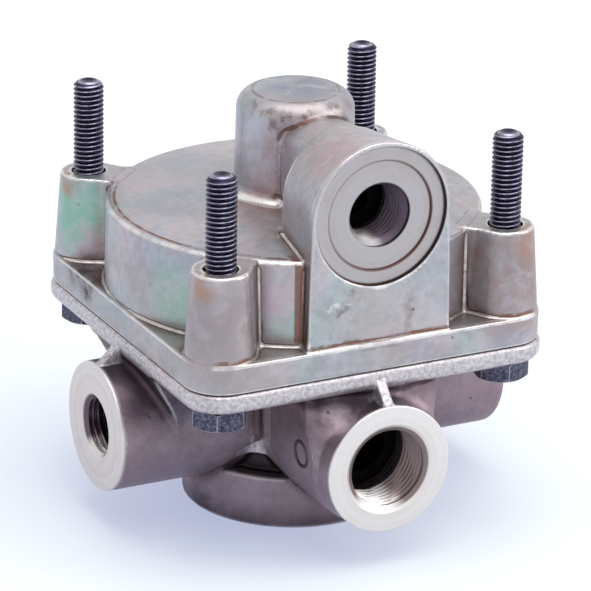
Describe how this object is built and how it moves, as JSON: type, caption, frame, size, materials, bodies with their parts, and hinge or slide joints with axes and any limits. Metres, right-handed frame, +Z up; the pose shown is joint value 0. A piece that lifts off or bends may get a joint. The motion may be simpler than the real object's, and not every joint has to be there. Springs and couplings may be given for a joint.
{
  "type": "relay valve",
  "caption": "Compressed-air brake relay valve: cast cover with control port and mounting studs, cast body with supply, delivery and exhaust ports, and inner piston and valve.",
  "frame": {"origin": "centre of the exhaust collar's lower rim, on the valve axis", "axes": "+Z up along the valve axis to the control side and the mounting studs; -Y faces the control port and the supply port; -X faces the delivery port"},
  "size_m": [0.112, 0.112, 0.111],
  "materials": {
    "cast_cover": "die-cast, chromate conversion coat, satin",
    "cast_body": "die-cast, darker chromate conversion coat, machined port faces",
    "black_steel": "black oxide",
    "piston_metal": "turned",
    "valve_brass": "turned",
    "spring_steel": "bright",
    "guide_plastic": "moulded",
    "rubber": "matt"
  },
  "bodies": {
    "housing": {"lower_body": "cast_body", "upper_cover": "cast_cover", "bolt_front_left": "black_steel", "bolt_front_right": "black_steel", "bolt_back_left": "black_steel", "bolt_back_right": "black_steel", "housing_seal": "rubber", "guide_insert": "guide_plastic", "guide_outer_seal": "rubber", "guide_inner_seal": "rubber", "retaining_ring": "spring_steel", "exhaust_flap": "rubber", "spring_seat": "spring_steel"},
    "valve": {"valve_tube": "valve_brass", "valve_seal_disc": "rubber", "valve_spring": "spring_steel"},
    "piston": {"relay_piston": "piston_metal", "piston_seal": "rubber"}
  },
  "joints": [
    {"name": "valve_stroke", "type": "slide", "parent": "housing", "child": "valve", "axis": [0, 0, -1], "range_m": [0, 0.0025], "stiffness_N_per_m": 4000, "springref_m": -0.008, "deforming": ["valve_spring"]},
    {"name": "piston_lift", "type": "slide", "parent": "valve", "child": "piston", "axis": [0, 0, 1], "range_m": [0, 0.0015]}
  ]
}
